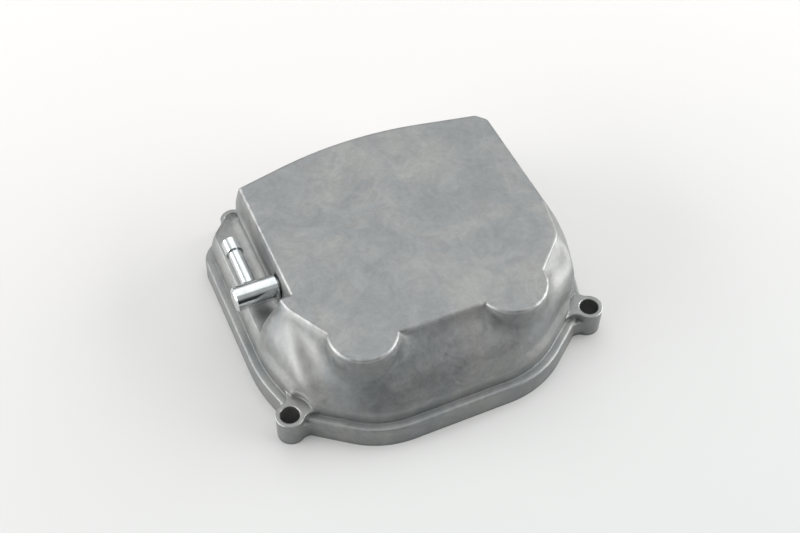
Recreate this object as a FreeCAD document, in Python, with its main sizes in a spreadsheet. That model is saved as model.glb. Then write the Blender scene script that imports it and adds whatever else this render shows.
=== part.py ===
import FreeCAD, Part
import math
import os
import Sketcher
from FreeCAD import Vector

# Die cast engine rocker housing with a pressed-in breather elbow.
# Origin: on the gasket face, amid the four bolt holes. +Z is up, the breather is on the -X side.
# Lengths are in millimetres and angles in degrees.

DIMENSIONS = {
    # overall heights of the casting
    "total_height": 44.5,
    "flange_height": 11.0,
    "shelf_height": 23.0,
    "shoulder_height": 22.0,
    "wall": 3.0,
    # bolt lugs
    "front_bolt_half_spacing": 74.5,
    "rear_bolt_half_spacing": 59.5,
    "front_bolt_depth": 58.7,
    "rear_bolt_depth": 61.2,
    "bolt_hole_radius": 4.5,
    "lug_radius": 6.4,
    "lug_flare": 5.5,
    "front_lug_height": 14.0,
    "rear_lug_height": 11.5,
    "front_bolt_clearance_radius": 9.8,
    "rear_bolt_clearance_radius": 6.6,
    # mounting flange
    "side_overhang": 6.5,
    "front_overhang": 25.1,
    "rear_overhang": 5.8,
    "right_corner_inset": 0.304,
    "right_corner_rise": 2.889,
    "left_corner_inset": 1.6,
    "left_corner_drop": 0.798,
    "rear_corner_outset": 6.11,
    "rear_corner_drop": 1.905,
    "right_front_radius": 49.0,
    "left_front_radius": 45.0,
    "lug_corner_radius": 12.0,
    "right_side_radius": 60.0,
    "left_side_radius": 80.0,
    "rear_side_radius": 13.0,
    "rear_corner_radius": 9.0,
    "ledge": 4.6,
    "flange_draft_inset": 0.4,
    "drum_swell": 3.0,
    "shoulder_inset": 2.6,
    # plateau and its two lobes
    "plateau_front_inset": 28.5,
    "plateau_rear_inset": 7.3,
    "plateau_right_inset": 10.2,
    "plateau_left_inset": 15.0,
    "plateau_apex_place": 2.0,
    "front_corner_radius": 6.0,
    "right_bend_inset": 3.8,
    "right_bend_depth": 29.5,
    "right_bend_radius": 14.0,
    "right_swell_inset": 0.6,
    "right_swell_depth": 6.0,
    "right_swell_radius": 30.0,
    "rear_right_drop": 14.0,
    "rear_right_cut": 3.0,
    "rear_right_rise": 3.8,
    "rear_right_radius": 3.5,
    "rear_left_drop": 15.0,
    "rear_left_cut": 4.0,
    "small_corner_radius": 3.0,
    "left_bend_place": 5.0,
    "left_bend_radius": 20.0,
    "left_front_inset": 4.5,
    "left_front_depth": 22.5,
    "left_front_bend": 12.0,
    "left_front_cut": 21.0,
    "left_lobe_radius": 16.0,
    "right_lobe_radius": 17.0,
    "left_lobe_place": 35.9,
    "right_lobe_place": 34.9,
    "left_lobe_inset": 5.0,
    "right_lobe_inset": 3.8,
    "lobe_draft": 5.0,
    "rear_radius": 182.0,
    # recess beside the plateau, where the breather sits
    "recess_width": 21.7,
    "recess_front": 20.0,
    "recess_draft": 5.0,
    # gasket groove in the underside of the flange
    "groove_width": 2.6,
    "groove_depth": 2.0,
    "groove_inset": 2.6,
    # breather elbow
    "elbow_radius": 5.7,
    "elbow_reach": 20.0,
    "elbow_gap": 0.8,
    "elbow_drop": 0.75,
    "elbow_place": 3.7,
    "spigot_radius": 4.2,
    "spigot_length": 9.0,
    "tube_radius": 3.3,
    "tube_length": 32.7,
    "tube_inset": 9.3,
    "collar_radius": 4.1,
    "collar_length": 7.0,
    "elbow_bore_radius": 2.6,
    "tube_bore_radius": 2.2,
    "elbow_chamfer": 0.7,
    "port_boss_radius": 7.5,
    "port_boss_length": 4.0,
    "elbow_closed_end": 3.0,
    "braze_radius": 1.5,
    # edge rounds
    "plateau_round": 1.8,
    "recess_round": 1.4,
    "flange_round": 1.3,
}

# Sizes that follow from the ones above: the casting is laid out from its bolts.
DERIVED = {
    "flange_half_width": "front_bolt_half_spacing + side_overhang",
    "flange_front": "front_bolt_depth + front_overhang",
    "flange_rear": "rear_bolt_depth + rear_overhang",
    "plateau_front": "flange_front - plateau_front_inset",
    "plateau_rear": "flange_rear - plateau_rear_inset",
    "plateau_right": "flange_half_width - plateau_right_inset",
    "plateau_left": "flange_half_width - plateau_left_inset",
    "left_lobe_depth": "plateau_front - left_lobe_inset",
    "right_lobe_depth": "plateau_front - right_lobe_inset",
    "recess_wall": "flange_half_width - recess_width",
    "elbow_end": "recess_wall + elbow_reach",
    "elbow_height": "(shelf_height + total_height) / 2 - elbow_drop",
}

doc = FreeCAD.newDocument("rocker_housing")
sheet = doc.addObject("Spreadsheet::Sheet", "dims")
cells = {alias: str(value) for alias, value in DIMENSIONS.items()}
cells.update({alias: "=" + formula for alias, formula in DERIVED.items()})
for row, (alias, content) in enumerate(cells.items(), start=1):
    sheet.set("A%d" % row, alias)
    sheet.set("B%d" % row, content)
    sheet.setAlias("B%d" % row, alias)
doc.recompute()


def dim(alias):
    """Value of one driving dimension, read from the sheet."""
    return float(sheet.get(alias))


# ---- outlines -------------------------------------------------------------------------------
# An outline is a closed list of corners (x, y, corner radius), counter-clockwise from above.

def flange_outline():
    side = dim("flange_half_width")
    front = dim("flange_front")
    rear = dim("flange_rear")
    bolt_across = dim("front_bolt_half_spacing")
    bolt_depth = dim("front_bolt_depth")
    rear_across = dim("rear_bolt_half_spacing") + dim("rear_corner_outset")
    rear_depth = dim("rear_bolt_depth") - dim("rear_corner_drop")
    rear_side = (side, 0.672 * rear, dim("rear_side_radius"))
    rear_corner = (rear_across, rear_depth, dim("rear_corner_radius"))
    return [
        (0.48 * side, -front, dim("right_front_radius")),
        (bolt_across - dim("right_corner_inset"), dim("right_corner_rise") - bolt_depth,
         dim("lug_corner_radius")),
        (side, -0.389 * front, dim("right_side_radius")),
        rear_side,
        rear_corner,
        (0.0, apex_behind(rear_across, rear_depth, rear), dim("rear_radius")),
        mirrored(rear_corner),
        mirrored(rear_side),
        (-side, -0.389 * front, dim("left_side_radius")),
        (dim("left_corner_inset") - bolt_across, -bolt_depth - dim("left_corner_drop"),
         dim("lug_corner_radius")),
        (-0.5 * side, -front, dim("left_front_radius")),
    ]


def mirrored(corner):
    return (-corner[0],) + corner[1:]


def apex_behind(across, depth, rear):
    """Where the tangents from two matching corners meet, so that the rear arc tops out at a depth."""
    radius = dim("rear_radius")
    lift = depth - rear + radius
    slope = math.atan2(across, lift) - math.acos(radius / math.hypot(across, lift))
    return rear + radius * (1.0 / math.cos(slope) - 1.0)


def drum_outline(distance):
    """The flange's outline moved in to the drum's wall, with the swells of its right side and rear."""
    outline = inset(flange_outline(), distance)
    swell = dim("drum_swell")
    for number, across, back in ((1, 0.3, 0.0), (2, 0.5, 0.0), (3, 0.0, 1.0), (4, 0.4, 1.0),
                                 (6, -0.4, 1.0), (7, 0.0, 1.0)):
        x, y, radius = outline[number]
        outline[number] = (x + across * swell, y + back * swell, radius)
    return outline


# How full the dome's side is under each plateau corner: 0 slopes straight, 1 stands up and rounds over.
FULLNESS = (0.3, 1.3, 1.4, 0.8, 0.5, 0.2, 0.2, 0.2, 0.1, 0.1, 0.0)


def plateau_outline():
    front = dim("plateau_front")
    right = dim("plateau_right")
    rear = dim("plateau_rear")
    left = dim("plateau_left")
    right_foot = rear - dim("rear_right_drop")
    left_foot = rear - dim("rear_left_drop")
    right_across = right - dim("rear_right_cut")
    right_depth = right_foot + dim("rear_right_rise")
    small = dim("small_corner_radius")
    return [
        (0.65 * right, -front, dim("front_corner_radius")),
        (right - dim("right_bend_inset"), -dim("right_bend_depth"), dim("right_bend_radius")),
        (right - dim("right_swell_inset"), -dim("right_swell_depth"), dim("right_swell_radius")),
        (right, right_foot, small),
        (right_across, right_depth, dim("rear_right_radius")),
        (dim("plateau_apex_place"), apex_behind(right_across, right_depth, rear), dim("rear_radius")),
        (dim("rear_left_cut") - left, left_foot + dim("rear_left_cut"), small),
        (-left, left_foot, small),
        (-left, dim("left_bend_place"), dim("left_bend_radius")),
        (dim("left_front_inset") - left, -dim("left_front_depth"), dim("left_front_bend")),
        (dim("left_front_cut") - left, -front, dim("front_corner_radius")),
    ]


def unit(a, b):
    length = math.hypot(b[0] - a[0], b[1] - a[1])
    return ((b[0] - a[0]) / length, (b[1] - a[1]) / length)


def inset(outline, distance):
    """The outline moved inwards by a distance, with its round corners following."""
    moved = []
    count = len(outline)
    for i, (x, y, radius) in enumerate(outline):
        before = unit(outline[i - 1], (x, y))
        after = unit((x, y), outline[(i + 1) % count])
        normal_x = -before[1] - after[1]
        normal_y = before[0] + after[0]
        scale = distance / (1.0 + before[0] * after[0] + before[1] * after[1])
        moved.append((x + normal_x * scale, y + normal_y * scale, max(radius - distance, 1.0)))
    return moved


def blend(lower, upper, share):
    """An outline part of the way up from one outline to another, held out where the side is full."""
    mixed = []
    for low, high, full in zip(lower, upper, FULLNESS):
        held = share ** (1.0 + 2.6 * full)
        mixed.append(tuple(a + (b - a) * held for a, b in zip(low, high)))
    return mixed


def outline_edges(outline):
    """Lines and tangent arcs of an outline, in order."""
    starts = []
    ends = []
    middles = []
    count = len(outline)
    for i, (x, y, radius) in enumerate(outline):
        back = unit((x, y), outline[i - 1])
        ahead = unit((x, y), outline[(i + 1) % count])
        half = math.acos(max(-1.0, min(1.0, back[0] * ahead[0] + back[1] * ahead[1]))) / 2.0
        reach = radius / math.tan(half)
        to_centre = unit((0.0, 0.0), (back[0] + ahead[0], back[1] + ahead[1]))
        centre_distance = radius / math.sin(half)
        starts.append(Vector(x + back[0] * reach, y + back[1] * reach, 0))
        ends.append(Vector(x + ahead[0] * reach, y + ahead[1] * reach, 0))
        mid = centre_distance - radius
        middles.append(Vector(x + to_centre[0] * mid, y + to_centre[1] * mid, 0))
    edges = []
    for i in range(count):
        edges.append(Part.Arc(starts[i], middles[i], ends[i]))
        edges.append(Part.LineSegment(ends[i], starts[(i + 1) % count]))
    return edges


# ---- document helpers -----------------------------------------------------------------------

def new_body(name):
    body = doc.addObject("PartDesign::Body", name)
    body.Label = name
    return body


def origin_plane(body, role):
    return next(f for f in body.Origin.OriginFeatures if f.Role == role)


def new_sketch(body, name, role="XY_Plane", height=None):
    """A sketch on one of the body's own planes, raised to a height given as an expression."""
    sketch = body.newObject("Sketcher::SketchObject", name)
    sketch.AttachmentSupport = [(origin_plane(body, role), "")]
    sketch.MapMode = "FlatFace"
    if height is not None:
        sketch.setExpression("AttachmentOffset.Base.z", height)
    return sketch


def draw(sketch, *outlines):
    """Draw closed outlines in a sketch."""
    for outline in outlines:
        sketch.addGeometry(outline_edges(outline), False)


def loft(body, name, levels):
    """A ruled loft through (height expression, outline) levels."""
    sketches = []
    for number, (height, outline) in enumerate(levels):
        sketch = new_sketch(body, "%s_level_%d" % (name, number), height=height)
        draw(sketch, outline)
        sketches.append(sketch)
    feature = body.newObject("PartDesign::AdditiveLoft", name)
    feature.Profile = sketches[0]
    feature.Sections = sketches[1:]
    feature.Ruled = True
    return feature


def circle(sketch, x, y, radius):
    """A circle whose centre and radius are constraints bound to expressions."""
    number = sketch.addGeometry(Part.Circle(Vector(0, 0, 0), Vector(0, 0, 1), 1.0), False)
    for kind, value in (("DistanceX", x), ("DistanceY", y)):
        place = sketch.addConstraint(Sketcher.Constraint(kind, -1, 1, number, 3, 1.0))
        sketch.setExpression("Constraints[%d]" % place, value)
    size = sketch.addConstraint(Sketcher.Constraint("Radius", number, 1.0))
    sketch.setExpression("Constraints[%d]" % size, radius)


def extrude(body, kind, name, sketch, length, draft=None, reverse=False):
    """A Pad or Pocket of a sketch with its length, and perhaps its draft, bound to expressions."""
    feature = body.newObject("PartDesign::" + kind, name)
    feature.Profile = sketch
    feature.setExpression("Length", length)
    feature.Reversed = reverse
    if draft is not None:
        feature.setExpression("TaperAngle", draft)
    return feature


# ---- the shell's two faces: outside of the casting and the core inside it -------------------

def between(low, high, share):
    """A height part of the way between two named heights, as a number and as an expression."""
    number = dim(low) + share * (dim(high) - dim(low))
    return number, "dims.%s + %g * (dims.%s - dims.%s)" % (low, share, high, low)


def dome_profile():
    """Steps up the dome: height, inset from the drum's foot, and share of the way to the plateau."""
    drawn = dim("shoulder_inset")
    steps = []
    for climb, pulled, share in ((0.0, 0.0, 0.0), (0.5, 0.22, 0.0), (0.77, 0.52, 0.01), (1.0, 1.0, 0.035)):
        steps.append((between("flange_height", "shoulder_height", climb), pulled * drawn, share))
    start = 0.27
    steps.append((between("shoulder_height", "total_height", start / 2), drawn, 0.12))
    for climb in (start, 0.45, 0.62, 0.76, 0.88, 1.0):
        share = 0.245 + 0.755 * (climb - start) / (1.0 - start)
        steps.append((between("shoulder_height", "total_height", climb), drawn, share))
    return steps


def dome_levels(wall, below_top):
    """Levels of the dome moved in by a wall, up to a named distance below the casting's top."""
    top = dim("total_height") - dim(below_top)
    plateau = inset(plateau_outline(), wall)
    steps = []
    for (height, expression), drawn, share in dome_profile()[::2 if wall else 1]:
        drum = drum_outline(dim("ledge") + wall + drawn)
        steps.append((height, expression, blend(drum, plateau, share)))
    while steps[-2][0] >= top:
        steps.pop()
    high, expression, upper = steps.pop()
    low, expression, lower = steps[-1]
    part_way = (top - low) / (high - low)
    last = [tuple(a + (b - a) * part_way for a, b in zip(*pair)) for pair in zip(lower, upper)]
    levels = [(expression, outline) for height, expression, outline in steps]
    return levels + [("dims.total_height - dims." + below_top, last)]


def lobes(body, name, wall):
    """The two drafted cylinders that round out the plateau's front corners."""
    height = dim("total_height") - dim("flange_height") - wall
    edge = dim("plateau_round") if wall == 0.0 else 0.0
    for side, word in ((-1, "left"), (1, "right")):
        top_radius = dim(word + "_lobe_radius") - wall
        foot_radius = top_radius + height * math.tan(math.radians(dim("lobe_draft")))
        sketch = new_sketch(body, "%s_%s_profile" % (name, word), "XZ_Plane", "dims.%s_lobe_depth" % word)
        sketch.setExpression("AttachmentOffset.Base.x", "%d * dims.%s_lobe_place" % (side, word))
        sketch.setExpression("AttachmentOffset.Base.y", "dims.flange_height")
        corners = [(0.0, 0.0), (foot_radius, 0.0), (top_radius, height - edge)]
        if edge:
            arc(sketch, (top_radius - edge, height - edge), edge, (0.0, 45.0, 90.0))
            corners.extend([None, (top_radius - edge, height)])
        corners.append((0.0, height))
        polyline(sketch, corners)
        turn = body.newObject("PartDesign::Revolution", "%s_%s" % (name, word))
        turn.Profile = sketch
        turn.ReferenceAxis = (sketch, ["V_Axis"])
        turn.Angle = 360.0


def arc(sketch, centre, radius, angles):
    """An arc through three angles, in degrees from the sketch's X axis; returns its ends."""
    points = [Vector(centre[0] + radius * math.cos(math.radians(angle)),
                     centre[1] + radius * math.sin(math.radians(angle)), 0) for angle in angles]
    sketch.addGeometry(Part.Arc(*points), False)
    return (points[0].x, points[0].y), (points[2].x, points[2].y)


def polyline(sketch, corners):
    """A closed run of lines through corners; None marks a stretch that another curve covers."""
    count = len(corners)
    for i, corner in enumerate(corners):
        after = corners[(i + 1) % count]
        if corner is not None and after is not None:
            sketch.addGeometry(Part.LineSegment(Vector(*corner, 0), Vector(*after, 0)), False)


def recess(body, name, wall):
    """The flat shelf beside the plateau: everything left of its wall and above its floor."""
    sketch = new_sketch(body, name + "_profile", "XZ_Plane", "dims.recess_front + %g" % wall)
    floor = dim("shelf_height") - wall
    roof = dim("total_height") - wall
    lean = math.tan(math.radians(dim("recess_draft")))
    foot = -dim("recess_wall") + wall
    head = foot + (roof - floor) * lean
    far = -2.0 * dim("flange_half_width")
    corners = [(far, floor), (foot, floor), (head, roof)]
    if wall == 0.0:
        edge = dim("recess_round")
        arc_start, arc_end = arc(sketch, (head + edge, roof - edge), edge, (180.0, 145.0, 110.0))
        corners = [(far, floor), (foot, floor), arc_start, None, arc_end]
    corners.append((corners[-1][0] + roof / math.tan(math.radians(20.0)), corners[-1][1] + roof))
    corners.append((far, 2.0 * roof))
    polyline(sketch, corners)
    extrude(body, "Pocket", name, sketch, "3 * dims.flange_rear")


BOLTS = {
    "front": [("-dims.front_bolt_half_spacing", "-dims.front_bolt_depth"),
              ("dims.front_bolt_half_spacing", "-dims.front_bolt_depth")],
    "rear": [("-dims.rear_bolt_half_spacing", "dims.rear_bolt_depth"),
             ("dims.rear_bolt_half_spacing", "dims.rear_bolt_depth")],
}


def bolt_clearances(body, name, wall):
    """Round notches over the lugs, where a bolt's head and a socket go."""
    for row, places in BOLTS.items():
        title = "%s_%s" % (name, row)
        sketch = new_sketch(body, title + "_sketch", height="dims.%s_lug_height - %g" % (row, wall))
        for x, y in places:
            circle(sketch, x, y, "dims.%s_bolt_clearance_radius + %g" % (row, wall))
        extrude(body, "Pocket", title, sketch, "dims.total_height", reverse=True)


def flare(lug, start, end, ahead):
    """The round blend from a lug into a straight side: its point on the lug, its middle, its end."""
    radius = dim("lug_flare")
    reach = dim("lug_radius") + radius
    along = Vector(*unit(start, end), 0)
    outward = Vector(along.y, -along.x, 0)
    rise = radius - (lug - Vector(start[0], start[1], 0)).dot(outward)
    run = ahead * math.sqrt(reach ** 2 - rise ** 2)
    centre = lug + outward * rise + along * run
    on_lug = lug + (centre - lug) * (dim("lug_radius") / reach)
    on_side = centre - outward * radius
    return on_lug, centre + (on_lug + on_side - centre * 2).normalize() * radius, on_side


def draw_lug(sketch, row, side, outline, rounded):
    """A lug with its two flares; without its round end it only fills the corners beside the lug."""
    x = math.copysign(dim(row + "_bolt_half_spacing"), side - 0.5)
    y = dim(row + "_bolt_depth") * (1.0 if row == "rear" else -1.0)
    lug = Vector(x, y, 0)
    number = min(range(len(outline)), key=lambda corner: math.dist(outline[corner][:2], (x, y)))
    before, corner, after = (outline[(number + step) % len(outline)] for step in (-1, 0, 1))
    first_lug, first_bend, first_side = flare(lug, before, corner, -1)
    last_lug, last_bend, last_side = flare(lug, corner, after, 1)
    root = lug * (1.0 - 2.0 * dim("lug_radius") / lug.Length)
    sketch.addGeometry(Part.Arc(first_side, first_bend, first_lug), False)
    if rounded:
        tip = lug * (1.0 + dim("lug_radius") / lug.Length)
        sketch.addGeometry(Part.Arc(first_lug, tip, last_lug), False)
    else:
        sketch.addGeometry(Part.LineSegment(first_lug, lug), False)
        sketch.addGeometry(Part.LineSegment(lug, last_lug), False)
    sketch.addGeometry(Part.Arc(last_lug, last_bend, last_side), False)
    sketch.addGeometry(Part.LineSegment(last_side, root), False)
    sketch.addGeometry(Part.LineSegment(root, first_side), False)


# ---- housing --------------------------------------------------------------------------------

def make_core():
    """The space inside the casting."""
    core = new_body("core")
    wall = dim("wall")
    levels = dome_levels(wall, "wall")
    levels[0] = ("-dims.wall", levels[0][1])
    loft(core, "core_dome", levels)
    lobes(core, "core_lobe", wall)
    recess(core, "core_recess", wall)
    bolt_clearances(core, "core_clearance", wall)
    return core


def quarter_levels(outline, foot, radius, top):
    """Levels of a quarter round, of a named radius, that ends flat at a named height."""
    levels = []
    for angle in (0.0, 30.0, 60.0, 90.0):
        turn = math.radians(angle)
        levels.append(("dims.%s - dims.%s * (1 - %g)" % (top, radius, math.sin(turn)),
                       inset(outline, foot + dim(radius) * (1.0 - math.cos(turn)))))
    return levels


def make_housing(core):
    housing = new_body("housing")
    draft = dim("flange_draft_inset")
    levels = dome_levels(0.0, "plateau_round")
    loft(housing, "dome", levels)
    loft(housing, "plateau_edge", quarter_levels(levels[-1][1], 0.0, "plateau_round", "total_height"))
    recess(housing, "recess", 0.0)
    lobes(housing, "lobe", 0.0)
    doc.recompute()
    loft(housing, "flange", [
        ("0", flange_outline()),
        ("dims.flange_height - dims.flange_round", inset(flange_outline(), draft))])
    loft(housing, "flange_edge", quarter_levels(flange_outline(), draft, "flange_round", "flange_height"))

    foot = inset(flange_outline(), draft)
    for name, row, outline, rounded, height in (
            ("front_lugs", "front", drum_outline(dim("ledge")), True, "dims.front_lug_height"),
            ("front_flares", "front", foot, False, "dims.flange_height - dims.flange_round"),
            ("rear_lugs", "rear", foot, True, "dims.rear_lug_height")):
        lug_sketch = new_sketch(housing, name + "_sketch")
        for side in (0, 1):
            draw_lug(lug_sketch, row, side, outline, rounded)
        extrude(housing, "Pad", name, lug_sketch, height)
    bolt_clearances(housing, "bolt_clearance", 0.0)

    hollow = housing.newObject("PartDesign::Boolean", "hollow")
    hollow.Type = "Cut"
    hollow.setObjects([core])

    bolt_sketch = new_sketch(housing, "bolt_hole_sketch")
    for x, y in BOLTS["front"] + BOLTS["rear"]:
        circle(bolt_sketch, x, y, "dims.bolt_hole_radius")
    extrude(housing, "Pocket", "bolt_holes", bolt_sketch, "2 * dims.front_lug_height", reverse=True)

    groove_sketch = new_sketch(housing, "gasket_groove_sketch")
    draw(groove_sketch, inset(flange_outline(), dim("groove_inset")),
         inset(flange_outline(), dim("groove_inset") + dim("groove_width")))
    extrude(housing, "Pocket", "gasket_groove", groove_sketch, "dims.groove_depth", reverse=True)

    boss_sketch = new_sketch(housing, "port_boss_sketch", "YZ_Plane",
                             "-dims.recess_wall + dims.wall + dims.port_boss_length")
    circle(boss_sketch, "-dims.elbow_place", "dims.elbow_height", "dims.port_boss_radius")
    extrude(housing, "Pad", "port_boss", boss_sketch, "dims.port_boss_length + dims.wall / 2", reverse=True)
    port_sketch = new_sketch(housing, "port_sketch", "YZ_Plane", "-dims.recess_wall + 4 * dims.wall")
    circle(port_sketch, "-dims.elbow_place", "dims.elbow_height", "dims.spigot_radius")
    extrude(housing, "Pocket", "port", port_sketch, "6 * dims.wall")
    return housing


def round_edges(body, name, chosen, radius):
    """A fillet along the edges of the body's tip that a test picks out."""
    base = body.Tip
    picked = ["Edge%d" % number for number, edge in enumerate(base.Shape.Edges, start=1) if chosen(edge)]
    fillet = body.newObject("PartDesign::Fillet", name)
    fillet.Base = (base, picked)
    fillet.setExpression("Radius", radius)


# ---- breather elbow -------------------------------------------------------------------------

def meets_tube(edge):
    """Whether an edge is the saddle curve where the tube leaves the barrel."""
    box = edge.BoundBox
    narrow = box.XMax - box.XMin < 2.0 * dim("elbow_radius")
    beside = box.YMin > -dim("elbow_place") and box.YMax < -dim("elbow_place") + 1.1 * dim("elbow_radius")
    return narrow and beside and box.XMax - box.XMin > dim("tube_radius")


def make_elbow():
    elbow = new_body("breather_elbow")
    radius = dim("elbow_radius")
    chamfer = dim("elbow_chamfer")
    above_shelf = dim("elbow_height") - dim("shelf_height")
    wall_face = -dim("recess_wall") + above_shelf * math.tan(math.radians(dim("recess_draft")))
    shoulder = wall_face - dim("elbow_gap")
    spigot_end = wall_face + dim("spigot_length")
    end = -dim("elbow_end")

    profile = new_sketch(elbow, "elbow_profile", "XZ_Plane", "dims.elbow_place")
    profile.setExpression("AttachmentOffset.Base.y", "dims.elbow_height")
    polyline(profile, [(end, 0.0), (end, radius - chamfer), (end + chamfer, radius), (shoulder, radius),
                       (shoulder, dim("spigot_radius")), (spigot_end, dim("spigot_radius")),
                       (spigot_end, 0.0)])
    barrel = elbow.newObject("PartDesign::Revolution", "barrel")
    barrel.Profile = profile
    barrel.ReferenceAxis = (profile, ["H_Axis"])
    barrel.Angle = 360.0

    tube_x = "-dims.elbow_end + dims.tube_inset"
    tube_sketch = new_sketch(elbow, "tube_sketch", "XZ_Plane", "dims.elbow_place")
    circle(tube_sketch, tube_x, "dims.elbow_height", "dims.tube_radius")
    extrude(elbow, "Pad", "tube", tube_sketch, "dims.tube_length", reverse=True)
    doc.recompute()
    round_edges(elbow, "braze", meets_tube, "dims.braze_radius")
    collar_sketch = new_sketch(elbow, "collar_sketch", "XZ_Plane",
                               "dims.elbow_place - dims.tube_length + dims.collar_length")
    circle(collar_sketch, tube_x, "dims.elbow_height", "dims.collar_radius")
    extrude(elbow, "Pad", "collar", collar_sketch, "dims.collar_length", reverse=True)

    bore_sketch = new_sketch(elbow, "bore_sketch", "YZ_Plane", "%g" % spigot_end)
    circle(bore_sketch, "-dims.elbow_place", "dims.elbow_height", "dims.elbow_bore_radius")
    extrude(elbow, "Pocket", "bore", bore_sketch, "%g" % (spigot_end - end - dim("elbow_closed_end")))
    tube_bore_sketch = new_sketch(elbow, "tube_bore_sketch", "XZ_Plane",
                                  "dims.elbow_place - dims.tube_length")
    circle(tube_bore_sketch, tube_x, "dims.elbow_height", "dims.tube_bore_radius")
    extrude(elbow, "Pocket", "tube_bore", tube_bore_sketch, "dims.tube_length", reverse=True)
    return elbow


# ---- build, check and write -----------------------------------------------------------------

def check(parts):
    doc.recompute()
    broken = [item.Name for item in doc.Objects if "Invalid" in item.State or "Error" in item.State]
    if broken:
        raise RuntimeError("features that failed: " + ", ".join(broken))
    for part in parts:
        if part.Shape.isNull() or not part.Shape.isValid() or len(part.Shape.Solids) != 1:
            raise RuntimeError(part.Label + " is not one valid solid")


housing = make_housing(make_core())
elbow = make_elbow()
parts = [housing, elbow]
check(parts)

os.makedirs("parts", exist_ok=True)
for part in parts:
    part.Shape.exportStep("parts/%s.step" % part.Label)
    print("%s: %.1f cubic mm" % (part.Label, part.Shape.Volume))
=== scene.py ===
import math

import bpy
from mathutils import Matrix, Vector


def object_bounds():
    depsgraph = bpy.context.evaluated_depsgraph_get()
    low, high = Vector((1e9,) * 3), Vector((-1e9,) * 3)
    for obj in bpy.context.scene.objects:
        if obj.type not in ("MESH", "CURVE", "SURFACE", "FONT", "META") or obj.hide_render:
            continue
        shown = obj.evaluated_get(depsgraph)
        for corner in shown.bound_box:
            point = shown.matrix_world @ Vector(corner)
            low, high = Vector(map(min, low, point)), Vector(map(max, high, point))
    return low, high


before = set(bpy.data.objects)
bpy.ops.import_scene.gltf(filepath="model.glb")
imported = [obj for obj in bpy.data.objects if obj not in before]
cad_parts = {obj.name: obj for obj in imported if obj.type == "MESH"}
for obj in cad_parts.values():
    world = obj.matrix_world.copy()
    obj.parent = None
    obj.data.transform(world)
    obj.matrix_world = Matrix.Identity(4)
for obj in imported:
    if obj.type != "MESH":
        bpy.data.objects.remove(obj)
cad_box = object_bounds()


def rgb(r, g, b):
    return (r, g, b, 1.0)


# ---- places and sizes, in metres; angles in degrees, lens and sensor in millimetres ------------
CAMERA_AZIMUTH = -24.34
CAMERA_ELEVATION = 50.8
CAMERA_ROLL = 0.65
CAMERA_DISTANCE = 0.6142
CAMERA_TARGET = Vector((0.008, 0.009, 0.0))
CAMERA_LENS = 56.0
CAMERA_SENSOR = 36.0
PART_CENTRE = (0.0, 0.0, 0.0)
FLOOR_SIZE = 6.0

# Each band fades in from its first height to its second.
CASTING_TOP = cad_box[1][2]
DOME_FOOT_BAND = (0.014, 0.018)
DOME_TOP_BAND = (CASTING_TOP - 0.001, CASTING_TOP - 0.0035)
# The rim band places a painted highlight on the plateau's rounded rim.
RIM_HIGHLIGHT_BAND = (CASTING_TOP - 0.002, CASTING_TOP - 0.0014)

# How wide the shading rounds off the small edges, and the creases of the dome.
SMALL_BLEND = 0.0012
DOME_BLEND = 0.011

# How far wear and painted highlight spread from an edge, and painted shade from a corner.
EDGE_WEAR_AND_HIGHLIGHT = 0.0008
CASTING_SHADE_REACH = 0.005
ELBOW_SHADE_REACH = 0.003

# ---- colours ----------------------------------------------------------------------------------
COOL_ALUMINIUM = rgb(0.26, 0.272, 0.275)
WARM_ALUMINIUM = rgb(0.312, 0.314, 0.306)
# Edge colour: partly wear, partly a painted highlight.
WORN_AND_HIGHLIT_ALUMINIUM = rgb(0.72, 0.72, 0.71)
# Painted shade for the casting's corners and creases.
CASTING_CORNER_SHADE = rgb(0.08, 0.085, 0.085)
DULL_ZINC = rgb(0.64, 0.675, 0.68)
BRIGHT_ZINC = rgb(0.76, 0.78, 0.775)
# Painted shade where the elbow meets the casting.
ELBOW_SHADE = rgb(0.05, 0.055, 0.055)
# Floor tones: painted shade in front, painted light to the rear.
SHADED_NEAR_FLOOR = rgb(0.595, 0.617, 0.61)
LIT_FAR_FLOOR = rgb(0.82, 0.787, 0.768)
FLOOR_GLOW_COLOUR = rgb(1.0, 0.985, 0.97)
FLOOR_GLOW = 0.04
ROOM_COLOUR = rgb(0.97, 0.99, 1.0)
ROOM_AS_SEEN = 0.9
BLACK = rgb(0.0, 0.0, 0.0)


# ---- node helpers -----------------------------------------------------------------------------

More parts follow.
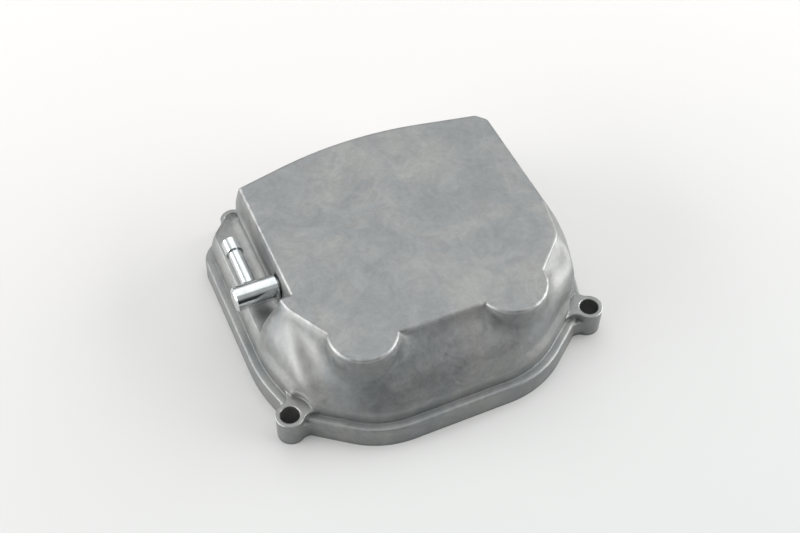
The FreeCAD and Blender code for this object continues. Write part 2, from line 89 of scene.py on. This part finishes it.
class Nodes:
    """A short way to build a node tree: every call adds a node and links what it is given."""

    def __init__(self, tree):
        self.tree = tree
        tree.nodes.clear()

    def add(self, kind, inputs=None, **settings):
        node = self.tree.nodes.new(kind)
        for name, value in settings.items():
            setattr(node, name, value)
        for name, value in (inputs or {}).items():
            self.feed(node.inputs[name], value)
        return node

    def feed(self, socket, value):
        if isinstance(value, bpy.types.NodeSocket):
            self.tree.links.new(value, socket)
        else:
            socket.default_value = value

    def object_place(self):
        return self.add("ShaderNodeTexCoord").outputs["Object"]

    def camera_ray(self):
        return self.add("ShaderNodeLightPath").outputs["Is Camera Ray"]

    def part_of(self, vector, axis):
        return self.add("ShaderNodeSeparateXYZ", {"Vector": vector}).outputs[axis]

    def noise(self, vector, scale, detail, roughness, distortion=0.0):
        node = self.add("ShaderNodeTexNoise", {
            "Vector": vector, "Scale": scale, "Detail": detail,
            "Roughness": roughness, "Distortion": distortion})
        return node.outputs["Fac"]

    def span(self, value, low, high, to_low=0.0, to_high=1.0):
        node = self.add("ShaderNodeMapRange", {
            "Value": value, "From Min": low, "From Max": high, "To Min": to_low, "To Max": to_high})
        return node.outputs["Result"]

    def mix(self, factor, first, second, blend="MIX"):
        # Sockets of this node share names between types: 6, 7 and output 2 are the colour ones.
        node = self.add("ShaderNodeMix", data_type="RGBA", blend_type=blend)
        self.feed(node.inputs[0], factor)
        self.feed(node.inputs[6], first)
        self.feed(node.inputs[7], second)
        return node.outputs[2]

    def math(self, operation, first, second):
        return self.add("ShaderNodeMath", {0: first, 1: second}, operation=operation).outputs[0]

    def grey(self, value):
        return self.add("ShaderNodeCombineColor", {"Red": value, "Green": value, "Blue": value}).outputs[0]

    def rounded_normal(self, radius, samples):
        return self.add("ShaderNodeBevel", {"Radius": radius}, samples=samples).outputs["Normal"]

    def open_sky(self, reach):
        return self.add("ShaderNodeAmbientOcclusion", {"Distance": reach}, samples=8).outputs["AO"]

    def surface(self, shader_inputs):
        shader = self.add("ShaderNodeBsdfPrincipled", shader_inputs)
        self.add("ShaderNodeOutputMaterial", {"Surface": shader.outputs[0]})


def new_material(name):
    material = bpy.data.materials.new(name)
    material.use_nodes = True
    return material, Nodes(material.node_tree)


# ---- materials --------------------------------------------------------------------------------

def wear_and_highlight_share(nodes, height, patches, open_sky):
    """Bright with wear and painted highlight where an edge is sharp, and a fainter painted highlight along
    the plateau's rim.
    """
    flat = nodes.add("ShaderNodeNewGeometry").outputs["Normal"]
    sharp = nodes.rounded_normal(EDGE_WEAR_AND_HIGHLIGHT, 8)
    turn = nodes.add("ShaderNodeVectorMath", {0: sharp, 1: flat}, operation="DOT_PRODUCT")
    edge = nodes.span(turn.outputs["Value"], 0.985, 0.8)
    near_top = nodes.span(height, *RIM_HIGHLIGHT_BAND)
    sloping = nodes.span(nodes.part_of(flat, "Z"), 0.985, 0.9)
    # A painted highlight along the plateau's rounded rim.
    rim_highlight = nodes.math("MULTIPLY", near_top, sloping)
    rim_highlight = nodes.math("MULTIPLY", rim_highlight, nodes.span(patches, 0.35, 0.65, 0.1, 0.5))
    either = nodes.math("MAXIMUM", edge, rim_highlight)
    return nodes.math("MULTIPLY", either, nodes.span(open_sky, 0.7, 0.95))


def softened_normal(nodes, height):
    """Rounds off the small edges, and the creases of the dome much more widely."""
    above_foot = nodes.span(height, *DOME_FOOT_BAND)
    below_top = nodes.span(height, *DOME_TOP_BAND)
    on_dome = nodes.math("MULTIPLY", above_foot, below_top)
    return nodes.rounded_normal(nodes.span(on_dome, 0.0, 1.0, SMALL_BLEND, DOME_BLEND), 16)


def cast_aluminium():
    """Raw die cast aluminium: faint cool and warm patches, fine grain, edges bright with wear and painted
    highlight, painted shade in the corners.
    """
    material, nodes = new_material("cast_aluminium")
    place = nodes.object_place()
    clouds = nodes.noise(place, scale=26.0, detail=6.0, roughness=0.62, distortion=1.2)
    patches = nodes.noise(place, scale=90.0, detail=5.0, roughness=0.65, distortion=1.5)
    specks = nodes.noise(place, scale=500.0, detail=4.0, roughness=0.7, distortion=0.5)
    grain = nodes.noise(place, scale=2400.0, detail=2.0, roughness=0.6)
    height = nodes.part_of(place, "Z")
    open_sky = nodes.open_sky(CASTING_SHADE_REACH)
    # Corners that see little open sky get painted shade.
    corner = nodes.span(open_sky, 0.75, 0.35)
    wear_and_highlight = wear_and_highlight_share(nodes, height, patches, open_sky)

    base = nodes.mix(nodes.span(clouds, 0.4, 0.6), COOL_ALUMINIUM, WARM_ALUMINIUM)
    patch_tone = nodes.span(patches, 0.35, 0.65, 0.9, 1.1)
    speck_tone = nodes.span(specks, 0.3, 0.7, 0.92, 1.08)
    tone = nodes.math("MULTIPLY", patch_tone, speck_tone)
    base = nodes.mix(1.0, base, nodes.grey(tone), "MULTIPLY")
    # Edges and rim lightened: wear, and a painted highlight.
    base = nodes.mix(nodes.math("MULTIPLY", wear_and_highlight, 0.8), base, WORN_AND_HIGHLIT_ALUMINIUM)
    # Painted shade darkens the corners and creases.
    base = nodes.mix(nodes.math("MULTIPLY", corner, 0.55), base, CASTING_CORNER_SHADE)

    patch_rough = nodes.span(patches, 0.3, 0.7, 0.4, 0.5)
    speck_rough = nodes.span(specks, 0.3, 0.7, -0.05, 0.05)
    rough = nodes.math("ADD", patch_rough, speck_rough)
    rough = nodes.math("SUBTRACT", rough, nodes.math("MULTIPLY", wear_and_highlight, 0.12))

    skin = nodes.math("ADD", nodes.math("MULTIPLY", grain, 0.25), nodes.math("MULTIPLY", specks, 0.75))
    bump = nodes.add("ShaderNodeBump", {
        "Height": skin, "Strength": 0.25, "Distance": 0.0004, "Normal": softened_normal(nodes, height)})
    nodes.surface({
        "Base Color": base, "Metallic": 0.7, "Roughness": rough, "Normal": bump.outputs["Normal"]})
    return material


def zinc_plate():
    """Bright zinc plated steel with faint drawing marks, and painted shade where it meets the casting."""
    material, nodes = new_material("zinc_plate")
    place = nodes.object_place()
    along_barrel = nodes.add("ShaderNodeVectorMath", {0: place, 1: (0.15, 1.0, 1.0)}, operation="MULTIPLY")
    haze = nodes.noise(place, scale=220.0, detail=3.0, roughness=0.5)
    scratch = nodes.noise(along_barrel.outputs[0], scale=1500.0, detail=3.0, roughness=0.6)

    base = nodes.mix(nodes.span(haze, 0.35, 0.65), DULL_ZINC, BRIGHT_ZINC)
    # Painted shade where the elbow meets the casting.
    base = nodes.mix(nodes.span(nodes.open_sky(ELBOW_SHADE_REACH), 0.6, 0.25), base, ELBOW_SHADE)
    haze_rough = nodes.span(haze, 0.3, 0.7, 0.09, 0.16)
    scratch_rough = nodes.span(scratch, 0.3, 0.7, -0.02, 0.03)
    rough = nodes.math("ADD", haze_rough, scratch_rough)
    bump = nodes.add("ShaderNodeBump", {"Height": scratch, "Strength": 0.08, "Distance": 0.0002})
    nodes.surface({
        "Base Color": base, "Metallic": 1.0, "Roughness": rough, "Normal": bump.outputs["Normal"]})
    return material


def pale_floor():
    """A matt floor, paler to the rear as painted light falloff; in front it lights the part less than the
    camera sees.
    """
    material, nodes = new_material("pale_floor")
    seen = nodes.camera_ray()
    depth = nodes.part_of(nodes.object_place(), "Y")
    # Painted light falloff: darker in front, paler to the rear.
    shade = nodes.mix(nodes.span(depth, -0.3, 0.3), SHADED_NEAR_FLOOR, LIT_FAR_FLOOR)
    lit = nodes.math("MAXIMUM", seen, nodes.span(depth, -0.25, 0.0, 0.7, 1.0))
    shade = nodes.mix(lit, BLACK, shade)
    nodes.surface({
        "Base Color": shade, "Roughness": 0.8, "Emission Color": FLOOR_GLOW_COLOUR,
        "Emission Strength": nodes.math("MULTIPLY", seen, FLOOR_GLOW)})
    return material


def dress(node, material):
    """Give a CAD node its material in every slot."""
    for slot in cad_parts[node].material_slots:
        slot.material = material


# ---- stage, light and camera ------------------------------------------------------------------

def add_floor():
    bpy.ops.mesh.primitive_plane_add(size=FLOOR_SIZE, location=(0.0, 0.0, 0.0))
    floor = bpy.context.object
    floor.name = "floor"
    floor.data.materials.append(pale_floor())


def add_lamp(name, place, target, size, power):
    data = bpy.data.lights.new(name, "AREA")
    data.shape = "RECTANGLE"
    data.size, data.size_y = size
    data.energy = power
    lamp = bpy.data.objects.new(name, data)
    bpy.context.scene.collection.objects.link(lamp)
    lamp.location = place
    lamp.rotation_euler = (Vector(target) - Vector(place)).to_track_quat("-Z", "Y").to_euler()


def add_world():
    """A room dark near the front horizon, brighter overhead and behind, and pale to the camera."""
    world = bpy.data.worlds.new("studio")
    bpy.context.scene.world = world
    world.use_nodes = True
    nodes = Nodes(world.node_tree)
    direction = nodes.add("ShaderNodeTexCoord").outputs["Generated"]
    rearward = nodes.part_of(direction, "Y")
    horizon = nodes.span(rearward, -0.5, 0.3, 0.42, 0.1)
    above = nodes.math("SUBTRACT", nodes.part_of(direction, "Z"), horizon)
    overhead = nodes.span(above, 0.0, 0.3, 0.04, 0.6)
    behind = nodes.span(rearward, -0.4, 0.8, 0.8, 1.4)
    lit = nodes.math("MULTIPLY", overhead, behind)
    seen = nodes.math("MULTIPLY", nodes.camera_ray(), ROOM_AS_SEEN)
    strength = nodes.math("MAXIMUM", lit, seen)
    background = nodes.add("ShaderNodeBackground", {"Color": ROOM_COLOUR, "Strength": strength})
    nodes.add("ShaderNodeOutputWorld", {"Surface": background.outputs[0]})


def add_camera():
    azimuth = math.radians(CAMERA_AZIMUTH)
    elevation = math.radians(CAMERA_ELEVATION)
    level = math.cos(elevation)
    back = Vector((math.sin(azimuth) * level, -math.cos(azimuth) * level, math.sin(elevation)))
    right = Vector((math.cos(azimuth), math.sin(azimuth), 0.0))
    up = back.cross(right)
    roll = Matrix.Rotation(math.radians(CAMERA_ROLL), 3, back)
    right = roll @ right
    up = roll @ up
    data = bpy.data.cameras.new("camera")
    data.lens = CAMERA_LENS
    data.sensor_width = CAMERA_SENSOR
    camera = bpy.data.objects.new("camera", data)
    bpy.context.scene.collection.objects.link(camera)
    place = CAMERA_TARGET + back * CAMERA_DISTANCE
    turned = Matrix((right, up, back)).transposed()
    camera.matrix_world = Matrix.Translation(place) @ turned.to_4x4()
    bpy.context.scene.camera = camera


bpy.context.scene.view_settings.view_transform = "Standard"
add_floor()
add_world()
add_lamp("top_softbox", place=(0.4, 0.7, 1.7), target=(0.2, 0.3, 0.0), size=(2.4, 2.4), power=13.0)
add_lamp("left_softbox", place=(-1.4, 0.2, 0.45), target=PART_CENTRE, size=(2.0, 0.7), power=20.0)
add_lamp("right_softbox", place=(1.35, -0.4, 0.5), target=PART_CENTRE, size=(1.8, 0.9), power=23.0)
add_camera()
dress("housing", cast_aluminium())
dress("breather_elbow", zinc_plate())
